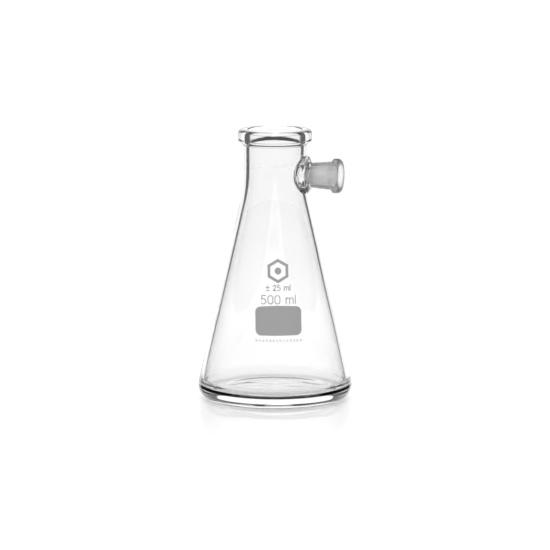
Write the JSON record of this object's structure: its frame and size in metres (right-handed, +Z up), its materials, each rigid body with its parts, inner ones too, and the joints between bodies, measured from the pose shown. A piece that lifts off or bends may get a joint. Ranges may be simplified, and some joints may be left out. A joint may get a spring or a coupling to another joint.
{
  "type": "filter flask",
  "caption": "Thick-walled conical glass filter flask with a beaded neck, a ground side socket on the neck and a printed writing panel.",
  "frame": {"origin": "middle of the base, on the flask's axis, at the height of the surface that it stands on", "axes": "+Z up along the flask's axis, +X along the side arm towards its mouth"},
  "size_m": [0.105, 0.105, 0.185],
  "materials": {
    "borosilicate_glass": "clear, polished",
    "ground_glass": "clear outside, ground matt bore",
    "grey_enamel": "fired ceramic ink, matt",
    "pale_enamel": "fired ceramic ink, matt, faint"
  },
  "bodies": {
    "root": {"flask_body": "borosilicate_glass", "side_seal": "borosilicate_glass", "side_socket": "ground_glass", "emblem_print": "grey_enamel", "type_print": "grey_enamel", "capacity_print": "grey_enamel", "writing_panel": "grey_enamel", "dash_print": "pale_enamel"}
  },
  "joints": []
}
